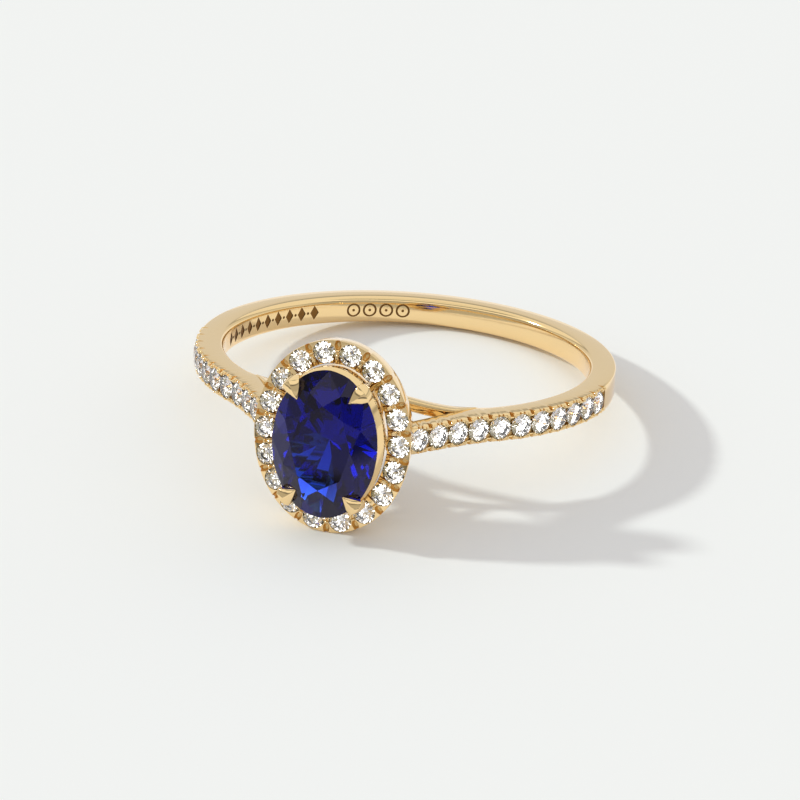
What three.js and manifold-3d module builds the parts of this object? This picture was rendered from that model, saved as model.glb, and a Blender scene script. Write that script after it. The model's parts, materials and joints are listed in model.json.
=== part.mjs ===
// Oval cluster engagement ring: a raised oval centre stone in four claws, an oval halo of round
// diamonds, and diamond-set shoulders on a flat-sided band. Millimetres.
//
// Bench frame: the finger axis is Z, the head points along -Y, the ring is symmetric about X = 0.
// Head frame: the same axes turned so that Z is the height above the finger axis and Y runs along
// the length of the centre stone. The finished ring lies on its side, as a ring put down does: on
// the low edge of its band and the low end of its halo.

import * as THREE from 'three';
import { ConvexGeometry } from 'three/addons/geometries/ConvexGeometry.js';
import { mergeVertices } from 'three/addons/utils/BufferGeometryUtils.js';
import Module from 'manifold-3d';

const wasm = await Module();
wasm.setup();

// ---------------------------------------------------------------- driving dimensions

// Band
const FINGER_RADIUS = 8.65;
const BAND_RADIUS = 9.93;
const BAND_HALF_WIDTH = 0.65;
const COMFORT_EASE = 0.2;
const OUTER_BEVEL = 0.09;
const BAND_SLICES = 90;

// Shoulders: past this angle from the head the arms sweep up and away from the finger circle.
const RISE_START = THREE.MathUtils.degToRad(41.5);
const RISE_RATE = 10.1;
const ARM_THICKNESS_AT_HEAD = 0.96;
const ARM_HEAD_ANGLE = THREE.MathUtils.degToRad(15);

// Bridge: the open, leaf-shaped bar that carries on round the finger under the head.
const BRIDGE_THICKNESS = 0.6;
const BRIDGE_HALF_LENGTH = 5.8;
const BRIDGE_SWELL = 0.88;
const BRIDGE_SWELL_POWER = 2.5;
const BRIDGE_RAIL = 0.56;
const BRIDGE_OPENING = 4.7;
const BRIDGE_EDGE = 0.08;
const BRIDGE_END_ANGLE = THREE.MathUtils.degToRad(38.5);
const BRIDGE_SLICES = 32;

// Halo
const HALO_FACE = 12.25;
const HALO_DEPTH = 1.05;
const HALO_STONE_LINE = [3.15, 4.02];
const HALO_OUTER_WALL = 0.56;
const HALO_INNER_WALL = 0.54;
const HALO_TAPER = 0.17;
const HALO_BEVEL = 0.05;
const HALO_STONES = 18;
const OVAL_SLICES = 60;

// Centre stone and the collar that it sits in
const CENTRE_HALF = [2.48, 3.5];
const CENTRE_GIRDLE = 13.42;
const CENTRE_GIRDLE_THICKNESS = 0.06;
const CENTRE_CROWN = 0.74;
const CENTRE_PAVILION = 2.1;
const CENTRE_TABLE_SCALE = 0.57;
const COLLAR_TOP = 13.2;
const COLLAR_BOTTOM = 11.45;
const COLLAR_HALF = [2.43, 3.31];
const COLLAR_RIM = 0.12;
const COLLAR_FLARE = 0.19;
const COLLAR_SLOPE = 0.3;
const COLLAR_WALL = 0.34;

// Claws, at this angle round the centre stone from its length
const CLAW_ANGLE = THREE.MathUtils.degToRad(41);
const CLAW_SHAFT = 0.46;
const CLAW_FOOT_X = 1.15;

// Diamonds
const HALO_DIAMOND_RADIUS = 0.52;
const SHOULDER_DIAMOND_RADIUS = 0.55;
const SHOULDER_STONES = 11;
const FIRST_STONE_ANGLE = THREE.MathUtils.degToRad(19.1);
const LAST_STONE_ANGLE = THREE.MathUtils.degToRad(81);
const STONE_SIDES = 12;
const STONE_GIRDLE = 0.02;
// Depth of the pavilion, width of the table and height of the crown, for a girdle of unit radius
const STONE_PAVILION = 0.86;
const STONE_TABLE = 0.56;
const STONE_CROWN = 0.3;
const STONE_SINK = 0.05;
const SEAT_HOLE_RADIUS = 0.2;

// Clearance kept between pieces that are soldered or set against each other
const FIT = 0.025;

// ---------------------------------------------------------------- materials

const GOLD = new THREE.MeshStandardMaterial({ color: 0xd9b777, roughness: 0.16, metalness: 1 });
const SAPPHIRE = new THREE.MeshStandardMaterial({ color: 0x10207a, roughness: 0.04, metalness: 0 });
const DIAMOND = new THREE.MeshStandardMaterial({ color: 0xeceef2, roughness: 0.03, metalness: 0 });

// ---------------------------------------------------------------- solids

function toSolid(geometry) {
  const bare = geometry.clone();
  for (const name of Object.keys(bare.attributes)) {
    if (name !== 'position') bare.deleteAttribute(name);
  }
  const merged = mergeVertices(bare, 1e-5);
  const triangles = [];
  for (let i = 0; i < merged.index.count; i += 3) {
    const corner = [0, 1, 2].map((k) => merged.index.getX(i + k));
    if (new Set(corner).size === 3) triangles.push(...corner);
  }
  return new wasm.Manifold(new wasm.Mesh({
    numProp: 3,
    vertProperties: Float32Array.from(merged.attributes.position.array),
    triVerts: Uint32Array.from(triangles),
  }));
}

function toGeometry(solid) {
  const mesh = solid.getMesh();
  const geometry = new THREE.BufferGeometry();
  geometry.setAttribute('position', new THREE.BufferAttribute(mesh.vertProperties, 3));
  geometry.setIndex(new THREE.BufferAttribute(mesh.triVerts, 1));
  const facets = geometry.toNonIndexed();
  facets.computeVertexNormals();
  return facets;
}

function cut(geometry, tools) {
  let solid = toSolid(geometry);
  for (const tool of tools) solid = solid.subtract(toSolid(tool));
  return toGeometry(solid);
}

// A skin over a row of sections with equal numbers of points. A closed row joins its last section
// to its first, and an open one is capped at both ends.
function loft(sections, closed) {
  const perSection = sections[0].length;
  const points = sections.flat();
  const rows = closed ? sections.length : sections.length - 1;
  const index = [];
  for (let i = 0; i < rows; i += 1) {
    const here = i * perSection;
    const next = ((i + 1) % sections.length) * perSection;
    for (let j = 0; j < perSection; j += 1) {
      const k = (j + 1) % perSection;
      index.push(here + j, here + k, next + k, here + j, next + k, next + j);
    }
  }
  if (!closed) {
    const last = (sections.length - 1) * perSection;
    for (let j = 1; j < perSection - 1; j += 1) {
      index.push(0, j + 1, j);
      index.push(last, last + j, last + j + 1);
    }
  }
  const geometry = new THREE.BufferGeometry().setFromPoints(points);
  geometry.setIndex(index);
  return geometry;
}

function facets(geometry) {
  return toGeometry(toSolid(geometry));
}

// ---------------------------------------------------------------- band and shoulders

function riseAt(angle) {
  return RISE_RATE * Math.max(0, RISE_START - Math.abs(angle)) ** 2;
}

function outerRadiusAt(angle) {
  return BAND_RADIUS + riseAt(angle);
}

function innerRadiusAt(angle) {
  const full = BAND_RADIUS - FINGER_RADIUS;
  const along = THREE.MathUtils.inverseLerp(RISE_START, ARM_HEAD_ANGLE, Math.abs(angle));
  const thickness = THREE.MathUtils.lerp(full, ARM_THICKNESS_AT_HEAD, THREE.MathUtils.clamp(along, 0, 1));
  return Math.max(FINGER_RADIUS, outerRadiusAt(angle) - thickness);
}

// A point at an angle from the head, at a radius from the finger axis and a height along it.
function polar(angle, radius, height) {
  return new THREE.Vector3(radius * Math.sin(angle), -radius * Math.cos(angle), height);
}

function bandSection(angle) {
  const inner = innerRadiusAt(angle);
  const outer = outerRadiusAt(angle);
  const side = BAND_HALF_WIDTH;
  const halfProfile = [
    [inner, side * 0.5],
    [inner + COMFORT_EASE * 0.28, side * 0.8],
    [inner + COMFORT_EASE, side],
    [outer - OUTER_BEVEL, side],
    [outer, side - OUTER_BEVEL],
  ];
  const otherHalf = halfProfile.map(([radius, height]) => [radius, -height]).reverse();
  return [...halfProfile, ...otherHalf].map(([radius, height]) => polar(angle, radius, height));
}

// Where each shoulder diamond sits: stations equally spaced along the outer face.
function shoulderStations() {
  const steps = 600;
  const path = [];
  let travelled = 0;
  for (let i = 0; i <= steps; i += 1) {
    const angle = THREE.MathUtils.lerp(FIRST_STONE_ANGLE, LAST_STONE_ANGLE, i / steps);
    const point = polar(angle, outerRadiusAt(angle), 0);
    if (i > 0) travelled += point.distanceTo(path[i - 1].point);
    path.push({ angle, point, travelled });
  }
  const stations = [];
  for (let stone = 0; stone < SHOULDER_STONES; stone += 1) {
    const target = (travelled * stone) / (SHOULDER_STONES - 1);
    stations.push(path.find((entry) => entry.travelled >= target - 1e-9));
  }
  return stations.map(({ angle, point }) => {
    const step = 1e-4;
    const ahead = polar(angle + step, outerRadiusAt(angle + step), 0);
    const along = ahead.sub(point).normalize();
    return { point, outward: new THREE.Vector3(along.y, -along.x, 0) };
  });
}

function mirrored({ point, outward }, side) {
  const flip = new THREE.Vector3(side, 1, 1);
  return { point: point.clone().multiply(flip), outward: outward.clone().multiply(flip) };
}

function makeShank(seats) {
  const sections = [];
  for (let i = 0; i < BAND_SLICES; i += 1) {
    sections.push(bandSection((i / BAND_SLICES) * Math.PI * 2 - Math.PI));
  }
  const clearOfHalo = HALO_FACE - HALO_DEPTH - FIT;
  const front = new THREE.BoxGeometry(20, 10, 4);
  front.translate(0, -clearOfHalo - 5, 0);
  return cut(loft(sections, true), [front, ...seats]);
}

// ---------------------------------------------------------------- bridge

function bridgeHalfWidth(x) {
  const taper = Math.max(0, 1 - (x / BRIDGE_HALF_LENGTH) ** 2);
  return BAND_HALF_WIDTH + BRIDGE_SWELL * taper ** BRIDGE_SWELL_POWER;
}

function bridgeSection(angle) {
  const inner = FINGER_RADIUS;
  const outer = Math.min(inner + BRIDGE_THICKNESS, innerRadiusAt(angle) - FIT);
  const side = bridgeHalfWidth(inner * Math.sin(angle));
  const edge = Math.min(BRIDGE_EDGE, (outer - inner) * 0.4);
  return [
    [inner, side - edge],
    [inner + edge, side],
    [outer - edge, side],
    [outer, side - edge],
    [outer, edge - side],
    [outer - edge, -side],
    [inner + edge, -side],
    [inner, edge - side],
  ].map(([radius, height]) => polar(angle, radius, height));
}

function bridgeOpening() {
  const outline = [];
  const steps = 14;
  for (let i = -steps; i <= steps; i += 1) {
    const x = BRIDGE_OPENING * Math.sin((i / steps) * Math.PI * 0.5);
    outline.push(new THREE.Vector2(x, Math.max(0, bridgeHalfWidth(x) - BRIDGE_RAIL)));
  }
  const lower = outline.slice(1, -1).reverse().map((point) => new THREE.Vector2(point.x, -point.y));
  const shape = new THREE.Shape([...outline, ...lower]);
  const opening = new THREE.ExtrudeGeometry(shape, { depth: 4, bevelEnabled: false });
  opening.rotateX(Math.PI / 2);
  opening.translate(0, -FINGER_RADIUS + 2.4, 0);
  return opening;
}

function makeBridge(clawRoom) {
  const sections = [];
  for (let i = 0; i <= BRIDGE_SLICES; i += 1) {
    const angle = THREE.MathUtils.lerp(-BRIDGE_END_ANGLE, BRIDGE_END_ANGLE, i / BRIDGE_SLICES);
    sections.push(bridgeSection(angle));
  }
  return cut(loft(sections, false), [bridgeOpening(), ...clawRoom]);
}

// ---------------------------------------------------------------- oval pieces of the head

// An oval hoop in the head frame. Each profile entry is [offset from the guide oval, height].
function ovalHoop(guide, profile) {
  const sections = [];
  for (let i = 0; i < OVAL_SLICES; i += 1) {
    const turn = (-i / OVAL_SLICES) * Math.PI * 2;
    sections.push(profile.map(([offset, height]) => new THREE.Vector3(
      (guide[0] + offset) * Math.cos(turn),
      (guide[1] + offset) * Math.sin(turn),
      height,
    )));
  }
  return loft(sections, true);
}

// Points equally spaced round an oval, with none on its ends.
function ovalStations(half, count) {
  const oval = new THREE.EllipseCurve(0, 0, half[0], half[1], Math.PI / 2, Math.PI * 2.5);
  oval.arcLengthDivisions = 2000;
  const stations = [];
  for (let i = 0; i < count; i += 1) stations.push(oval.getPointAt((i + 0.5) / count));
  return stations;
}

function makeHalo(seats, clawRoom) {
  const back = HALO_FACE - HALO_DEPTH;
  const face = HALO_FACE;
  const hoop = ovalHoop(HALO_STONE_LINE, [
    [HALO_OUTER_WALL - HALO_TAPER, back],
    [HALO_OUTER_WALL, face - HALO_BEVEL],
    [HALO_OUTER_WALL - HALO_BEVEL, face],
    [HALO_BEVEL - HALO_INNER_WALL, face],
    [-HALO_INNER_WALL, face - HALO_BEVEL],
    [-HALO_INNER_WALL, back],
  ]);
  return cut(hoop, [...seats, ...clawRoom]);
}

function makeCollar(clawRoom) {
  const hoop = ovalHoop(COLLAR_HALF, [
    [-0.06, COLLAR_BOTTOM],
    [0, COLLAR_BOTTOM + 0.1],
    [0.1, HALO_FACE],
    [COLLAR_FLARE, COLLAR_TOP - COLLAR_SLOPE - 0.16],
    [COLLAR_FLARE, COLLAR_TOP - COLLAR_SLOPE - 0.06],
    [-0.02, COLLAR_TOP - 0.06],
    [-COLLAR_RIM, COLLAR_TOP],
    [-COLLAR_WALL, COLLAR_TOP - 0.3],
    [-COLLAR_WALL, COLLAR_BOTTOM],
  ]);
  return cut(hoop, clawRoom);
}

// ---------------------------------------------------------------- stones

// Round stone standing on +Z with the middle of its girdle at the origin.
function roundStone(radius) {
  const top = STONE_GIRDLE + radius * STONE_CROWN;
  const profile = [
    [0, -radius * STONE_PAVILION],
    [radius, -STONE_GIRDLE],
    [radius, STONE_GIRDLE],
    [radius * STONE_TABLE, top],
    [0, top],
  ];
  const lathe = new THREE.LatheGeometry(profile.map(([r, h]) => new THREE.Vector2(r, h)), STONE_SIDES);
  return facets(lathe.rotateX(Math.PI / 2));
}

// The drilled and tapered hole that such a stone drops into, along +Z. A depth beyond the cone
// carries on as a narrow hole.
function stoneSeat(radius, depth) {
  const room = (radius + FIT) / Math.cos(Math.PI / STONE_SIDES);
  const shelf = -STONE_GIRDLE - FIT;
  const coneFoot = -STONE_PAVILION * (radius - SEAT_HOLE_RADIUS) - FIT * 1.5;
  const profile = [
    [0, -depth],
    [SEAT_HOLE_RADIUS, -depth],
    [SEAT_HOLE_RADIUS, coneFoot],
    [room, shelf],
    [room, 1],
    [0, 1],
  ];
  const lathe = new THREE.LatheGeometry(profile.map(([r, h]) => new THREE.Vector2(r, h)), STONE_SIDES);
  return lathe.rotateX(Math.PI / 2);
}

// The oval centre stone, in the head frame. Grown by a clearance it is the tool for its own seat.
function centreStone(grow) {
  const sides = 24;
  const levels = [
    [0, -CENTRE_PAVILION],
    [0.4, -CENTRE_PAVILION * 0.62],
    [1, -CENTRE_GIRDLE_THICKNESS / 2],
    [1, CENTRE_GIRDLE_THICKNESS / 2],
    [0.84, CENTRE_CROWN * 0.45],
    [CENTRE_TABLE_SCALE, CENTRE_CROWN],
    [0, CENTRE_CROWN],
  ];
  const profile = levels.map(([scale, height]) => new THREE.Vector2(scale, height));
  const stone = new THREE.LatheGeometry(profile, sides).rotateX(Math.PI / 2);
  stone.scale(CENTRE_HALF[0] + grow, CENTRE_HALF[1] + grow, 1 + grow / CENTRE_CROWN);
  stone.translate(0, 0, CENTRE_GIRDLE);
  return stone;
}

// ---------------------------------------------------------------- claws

// One claw in the head frame, for the quarter where x and y are positive. It rises from the
// bridge rail, passes inside the halo, and its head closes over the crown of the centre stone.
function clawSolid(grow) {
  const sin = Math.sin(CLAW_ANGLE);
  const cos = Math.cos(CLAW_ANGLE);
  const rim = new THREE.Vector2(CENTRE_HALF[0] * sin, CENTRE_HALF[1] * cos);
  const out = new THREE.Vector2(sin / CENTRE_HALF[0], cos / CENTRE_HALF[1]).normalize();
  const across = new THREE.Vector2(-out.y, out.x);
  const place = (outward, sideways, height) => new THREE.Vector3(
    rim.x + out.x * outward + across.x * sideways,
    rim.y + out.y * outward + across.y * sideways,
    height,
  );
  const half = CLAW_SHAFT / 2 + grow;
  const block = (centre, height) => [
    new THREE.Vector3(centre.x + (out.x - across.x) * half, centre.y + (out.y - across.y) * half, height),
    new THREE.Vector3(centre.x + (out.x + across.x) * half, centre.y + (out.y + across.y) * half, height),
    new THREE.Vector3(centre.x - (out.x - across.x) * half, centre.y - (out.y - across.y) * half, height),
    new THREE.Vector3(centre.x - (out.x + across.x) * half, centre.y - (out.y + across.y) * half, height),
  ];
  const foot = new THREE.Vector2(CLAW_FOOT_X, bridgeHalfWidth(CLAW_FOOT_X) - BRIDGE_RAIL / 2);
  const atHalo = rim.clone().addScaledVector(out, -0.06);
  const shaft = loft([
    block(foot, FINGER_RADIUS + BRIDGE_THICKNESS * 0.5 - grow),
    block(foot, FINGER_RADIUS + BRIDGE_THICKNESS + 0.1),
    block(atHalo, HALO_FACE - HALO_DEPTH),
    block(atHalo, HALO_FACE + 0.1),
    block(rim.clone().addScaledVector(out, 0.06), CENTRE_GIRDLE - 0.3),
  ], false);
  const head = new ConvexGeometry([
    place(-0.17 - grow, -0.23 - grow, HALO_FACE + 0.12),
    place(-0.17 - grow, 0.23 + grow, HALO_FACE + 0.12),
    place(0.19 + grow, -0.2 - grow, HALO_FACE + 0.12),
    place(0.19 + grow, 0.2 + grow, HALO_FACE + 0.12),
    place(0.0, -0.44 - grow, CENTRE_GIRDLE - 0.15),
    place(0.0, 0.44 + grow, CENTRE_GIRDLE - 0.15),
    place(0.34 + grow, -0.3 - grow, CENTRE_GIRDLE - 0.1),
    place(0.34 + grow, 0.3 + grow, CENTRE_GIRDLE - 0.1),
    place(0.1, -0.42 - grow, CENTRE_GIRDLE + 0.28),
    place(0.1, 0.42 + grow, CENTRE_GIRDLE + 0.28),
    place(0.2, 0, CENTRE_GIRDLE + 0.52 + grow),
    place(-0.2, 0, CENTRE_GIRDLE + 0.56 + grow),
    place(-0.66, -0.03, CENTRE_GIRDLE + 0.4),
    place(-0.66, 0.03, CENTRE_GIRDLE + 0.4),
    place(-0.62, 0, CENTRE_GIRDLE + 0.1),
  ]);
  return toSolid(shaft).add(toSolid(head));
}

function inQuarter(solid, signX, signY) {
  const geometry = toGeometry(solid);
  const position = geometry.attributes.position;
  for (let i = 0; i < position.count; i += 1) {
    position.setXY(i, position.getX(i) * signX, position.getY(i) * signY);
  }
  if (signX * signY < 0) {
    for (let i = 0; i < position.count; i += 3) {
      const a = new THREE.Vector3().fromBufferAttribute(position, i + 1);
      const b = new THREE.Vector3().fromBufferAttribute(position, i + 2);
      position.setXYZ(i + 1, b.x, b.y, b.z);
      position.setXYZ(i + 2, a.x, a.y, a.z);
    }
  }
  geometry.computeVertexNormals();
  return geometry;
}

// ---------------------------------------------------------------- assembly

function named(name, geometry, material) {
  const mesh = new THREE.Mesh(geometry, material);
  mesh.name = name;
  return mesh;
}

const UP = new THREE.Vector3(0, 0, 1);
const HEAD_TURN = Math.PI / 2;
const QUARTERS = [
  ['upper_right', 1, 1],
  ['upper_left', -1, 1],
  ['lower_right', 1, -1],
  ['lower_left', -1, -1],
];

const bench = new THREE.Group();
const head = new THREE.Group();
head.rotation.x = HEAD_TURN;
bench.add(head);

// Claws, and the room that the pieces round them leave for them
const claw = clawSolid(0).subtract(toSolid(centreStone(FIT)));
const clawTool = clawSolid(FIT);
const clawRoom = QUARTERS.map(([, signX, signY]) => inQuarter(clawTool, signX, signY));
const clawRoomOnBench = clawRoom.map((tool) => tool.clone().rotateX(HEAD_TURN));
for (const [corner, signX, signY] of QUARTERS) {
  head.add(named(`claw_${corner}`, inQuarter(claw, signX, signY), GOLD));
}

// Halo with its diamonds
const haloStoneHeight = HALO_FACE - STONE_SINK;
const haloSeat = stoneSeat(HALO_DIAMOND_RADIUS, HALO_DEPTH + 1);
const haloStone = roundStone(HALO_DIAMOND_RADIUS);
const haloSeats = [];
ovalStations(HALO_STONE_LINE, HALO_STONES).forEach((spot, i) => {
  haloSeats.push(haloSeat.clone().translate(spot.x, spot.y, haloStoneHeight));
  const stone = named(`halo_diamond_${String(i + 1).padStart(2, '0')}`, haloStone, DIAMOND);
  stone.position.set(spot.x, spot.y, haloStoneHeight);
  head.add(stone);
});
head.add(named('halo_frame', makeHalo(haloSeats, clawRoom), GOLD));

// Collar and centre stone
head.add(named('seat_collar', makeCollar(clawRoom), GOLD));
head.add(named('centre_sapphire', facets(centreStone(0)), SAPPHIRE));

// Shank with its shoulder diamonds
const shoulderSeatDepth = SHOULDER_DIAMOND_RADIUS * STONE_PAVILION + 0.06;
const shoulderSeat = stoneSeat(SHOULDER_DIAMOND_RADIUS, shoulderSeatDepth);
const shoulderStone = roundStone(SHOULDER_DIAMOND_RADIUS);
const shankSeats = [];
for (const [sideName, side] of [['right', 1], ['left', -1]]) {
  shoulderStations().forEach((station, i) => {
    const { point, outward } = mirrored(station, side);
    const name = `shoulder_diamond_${sideName}_${String(i + 1).padStart(2, '0')}`;
    const stone = named(name, shoulderStone, DIAMOND);
    stone.position.copy(point).addScaledVector(outward, -STONE_SINK);
    stone.quaternion.setFromUnitVectors(UP, outward);
    bench.add(stone);
    stone.updateMatrix();
    shankSeats.push(shoulderSeat.clone().applyMatrix4(stone.matrix));
  });
}
bench.add(named('shank', makeShank(shankSeats), GOLD));
bench.add(named('under_bridge', makeBridge(clawRoomOnBench), GOLD));

// Laid on its side: the low end of the halo and the far low edge of the band touch the surface.
const haloLow = HALO_STONE_LINE[1] + HALO_OUTER_WALL;
const lean = Math.atan2(haloLow - BAND_HALF_WIDTH, HALO_FACE - HALO_BEVEL + BAND_RADIUS - OUTER_BEVEL);
bench.rotation.x = -lean;

// Centred over the origin, standing on Z = 0
const ring = new THREE.Group();
ring.add(bench);
const extent = new THREE.Box3().setFromObject(ring, true);
const middle = extent.getCenter(new THREE.Vector3());
bench.position.set(-middle.x, -middle.y, -extent.min.z);

export default ring;
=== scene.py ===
"""Oval cluster engagement ring: the fine model of every piece, its finishes and its studio.

The pieces are modelled in millimetres on the bench: the finger axis is Z and the head points along -Y.
Pieces of the head are modelled in the head's own axes: Z is the height above the finger axis and Y runs
along the length of the centre stone. Each finished piece is then laid where the ring's frame lies.
"""

import json
import math

import bmesh
import bpy
from mathutils import Matrix, Vector


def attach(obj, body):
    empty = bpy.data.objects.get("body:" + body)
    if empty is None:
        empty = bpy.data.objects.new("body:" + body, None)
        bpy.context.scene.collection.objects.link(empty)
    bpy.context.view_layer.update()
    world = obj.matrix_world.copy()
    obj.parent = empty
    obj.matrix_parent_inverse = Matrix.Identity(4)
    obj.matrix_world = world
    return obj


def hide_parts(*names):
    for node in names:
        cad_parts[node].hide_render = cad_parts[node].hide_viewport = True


bl_info = {
    "name": "Oval Cluster Ring",
    "version": (1, 0, 0),
    "blender": (4, 5, 0),
    "location": "View3D > Sidebar > Ring",
    "description": "Builds an oval sapphire and diamond cluster ring piece by piece",
    "category": "Object",
}

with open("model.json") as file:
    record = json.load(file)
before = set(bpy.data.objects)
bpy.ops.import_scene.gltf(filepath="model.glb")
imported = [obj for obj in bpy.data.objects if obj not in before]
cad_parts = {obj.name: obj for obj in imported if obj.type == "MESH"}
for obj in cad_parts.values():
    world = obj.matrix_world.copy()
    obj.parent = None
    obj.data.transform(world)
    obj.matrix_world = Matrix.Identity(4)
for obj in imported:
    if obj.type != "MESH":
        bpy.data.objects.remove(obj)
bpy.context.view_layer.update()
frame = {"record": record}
MOUNTS = {mount["name"]: mount for mount in frame["record"]["mounts"]}

MM = 0.001

# ---------- sizes of the ring, millimetres

FINGER_RADIUS = 8.65
BAND_RADIUS = 9.93
BAND_HALF_WIDTH = 0.65
BAND_STEPS = 360
BAND_OUTER_ROUNDING = 0.09
COMFORT_ROUNDING = 0.22
COMFORT_ARCH = 0.08
COMFORT_LOST_ON_ARMS = 0.94  # share of the inside's rounding that the squarer arms lose
RISE_START = math.radians(41.5)
RISE_RATE = 10.1
ARM_THICKNESS_AT_HEAD = 0.96
ARM_HEAD_ANGLE = math.radians(15)
ARM_EASING = math.radians(4)

BRIDGE_THICKNESS = 0.6
BRIDGE_HALF_LENGTH = 5.8
BRIDGE_SWELL = 0.88
BRIDGE_SWELL_POWER = 2.5
BRIDGE_RAIL = 0.56
BRIDGE_OPENING = 4.7
BRIDGE_LEAST_HALF = 0.09
BRIDGE_ROUNDING = 0.07
BRIDGE_LIFT = 0.005  # over the finger circle
BRIDGE_HEADROOM = 0.012  # into the arms over its tips
BRIDGE_TIP_NARROWING = 0.38
BRIDGE_END = FINGER_RADIUS * math.sin(math.radians(41.3))

HALO_FACE = 12.25
HALO_DEPTH = 1.05
HALO_LINE = (3.15, 4.02)
HALO_OUTER_WALL = 0.56
HALO_INNER_WALL = 0.54
HALO_TAPER = 0.17
HALO_ROUNDING = 0.04
HALO_STONES = 18
OVAL_STEPS = 240

CENTRE_HALF = (2.48, 3.5)
CENTRE_GIRDLE = 13.42
CENTRE_CROWN = 0.74
CENTRE_PAVILION = 2.1
COLLAR_TOP = 13.2
COLLAR_BOTTOM = 11.45
COLLAR_HALF = (2.43, 3.31)
COLLAR_WALL = 0.34
COLLAR_ROUNDING = 0.02
# The collar's section: (offset from its oval, height), from the outer foot round to the inner one
COLLAR_PROFILE = (
    (-0.04, COLLAR_BOTTOM),
    (0.12, HALO_FACE),
    (0.19, COLLAR_TOP - 0.46),
    (0.19, COLLAR_TOP - 0.36),
    (-0.02, COLLAR_TOP - 0.06),
    (-0.12, COLLAR_TOP + 0.02),
    (-COLLAR_WALL, COLLAR_TOP - 0.3),
    (-COLLAR_WALL, COLLAR_BOTTOM),
)

CLAW_ANGLE = math.radians(41)
CLAW_SHAFT = 0.46
CLAW_FOOT_X = 1.15
CLAW_SHAFT_INSET = 0.06
CLAW_ROUNDING = 0.025
UPPER_LEFT_CLAW_TURN = math.radians(-22)

HALO_DIAMOND_RADIUS = 0.52
SHOULDER_DIAMOND_RADIUS = 0.55
SHOULDER_STONES = 11
FIRST_STONE_ANGLE = math.radians(19.1)
LAST_STONE_ANGLE = math.radians(81)
STONE_SINK = 0.04
STONE_TURN = 2.4  # radians from one stone to the next
FIT = 0.01
SEAT_SLOPE = 0.86
DRILL_RADIUS = 0.2
SHOULDER_SEAT_DEPTH = 0.5
HALO_SEAT_DEPTH = 1.5

# Fine work on the shoulders. Places are (across the band, along it, height over its face)
TRENCH_SIZE = (0.84, 0.5, 0.46)
TRENCH_HEIGHT = 0.07
NOTCH_LENGTH = 0.34
NOTCH_DEPTH = 0.3
NICK_SIZE = (0.09, 0.12, 0.1)
NICK_PLACE = (BAND_HALF_WIDTH - 0.03, 0.11, 0)
BEAD_PLACE = (0.51, 0.17, -0.02)
SMALL_BEAD_SHARE = 0.6
SMALL_BEAD_PLACE = (0.6, 0, -0.03)

# Fine work on the halo: middles (outward, along, height) and half sizes
SCOOP_MIDDLE, SCOOP_LENGTH, SCOOP_DEPTH = (0.34, 0, 0.06), 0.27, 0.3
SLOT_MIDDLE, SLOT_SIZE = (-0.3, 0, 0.05), (0.33, 0.05, 0.3)
SLOT_OFFSET = 0.14
PEARL_MIDDLE, PEARL_SIZE = (0.06, 0, -0.02), (0.09, 0.13, 0.14)
PRONG_MIDDLE, PRONG_SIZE = (-0.28, 0, 0.02), (0.25, 0.085, 0.14)
CLAW_CLEARANCE = 0.9

# Ornament inside the band, by the angle from the head
ORNAMENT_PITCH = math.radians(4.9)
FIRST_LOZENGE, LOZENGES = math.radians(227), 10
LOZENGE_HALF = (0.36, 0.24)
RING_PITCH = ORNAMENT_PITCH * 1.1
FIRST_RING, RINGS = math.radians(197), 4
RING_RADIUS, RING_LINE = 0.3, 0.05
DOT_RADIUS = 0.07

# The diamonds' deep and pale tones, the tint of the sapphire's mirrored light, and the colour that
# its depth takes
DIAMOND_TONES = (0.97, 0.95, 0.965, 1), (1, 0.985, 0.99, 1)
SAPPHIRE_SHEEN = (0.42, 0.38, 0.62, 1)
SAPPHIRE_DEPTHS = (0.09, 0.2, 0.78, 1)
DIAMOND_INDEX, SAPPHIRE_INDEX = 2.42, 1.77
ENGRAVED_ROUGHNESS, CUT_ROUGHNESS = 0.35, 0.33

# Brilliant cut on a girdle of unit radius: (facets round, first facet's turn, slope, height on the axis)
GIRDLE = 0.03
TABLE_HEIGHT = 0.2955 + GIRDLE / 2
CROWN_FACETS = (
    (8, 0.0, 0.6873, GIRDLE / 2 + 0.6873),
    (8, 22.5, 0.404, TABLE_HEIGHT + 0.404 * 0.5266),
    (16, 11.25, 0.8836, GIRDLE / 2 + 0.8666),
)
PAVILION_FACETS = (
    (8, 0.0, 0.8632, GIRDLE / 2 + 0.8632),
    (16, 11.25, 0.9001, GIRDLE / 2 + 0.8829),
)
PAVILION_DEPTH = GIRDLE / 2 + 0.8632

# ---------- placing


def ring_placement():
    """Bench millimetres to the frame's metres, from the two flat faces at the back of the band."""
    lower, upper = MOUNTS["lower_side_face"], MOUNTS["upper_side_face"]
    up = Vector(upper["axis"])
    turn = Matrix.Rotation(-math.atan2(up.y, up.z), 4, "X")
    middle = (Vector(lower["pos_m"]) + Vector(upper["pos_m"])) / 2
    mount_radius, mount_angle = 9.4 * MM, math.radians(1)
    spot = Vector((mount_radius * math.sin(mount_angle), mount_radius * math.cos(mount_angle), 0))
    return Matrix.Translation(middle - turn @ spot) @ turn @ Matrix.Scale(MM, 4)


BENCH = ring_placement()
HEAD = BENCH @ Matrix.Rotation(math.radians(90), 4, "X")

# ---------- shapes of the outlines


def rise(angle):
    return RISE_RATE * max(0.0, RISE_START - abs(angle)) ** 2


def outer_radius(angle):
    return BAND_RADIUS + rise(angle)


def inner_radius(angle):
    along = (RISE_START - abs(angle)) / (RISE_START - ARM_HEAD_ANGLE)
    along = min(1.0, max(0.0, along))
    full = BAND_RADIUS - FINGER_RADIUS
    thickness = full + (ARM_THICKNESS_AT_HEAD - full) * along
    return max(FINGER_RADIUS, outer_radius(angle) - thickness)


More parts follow.
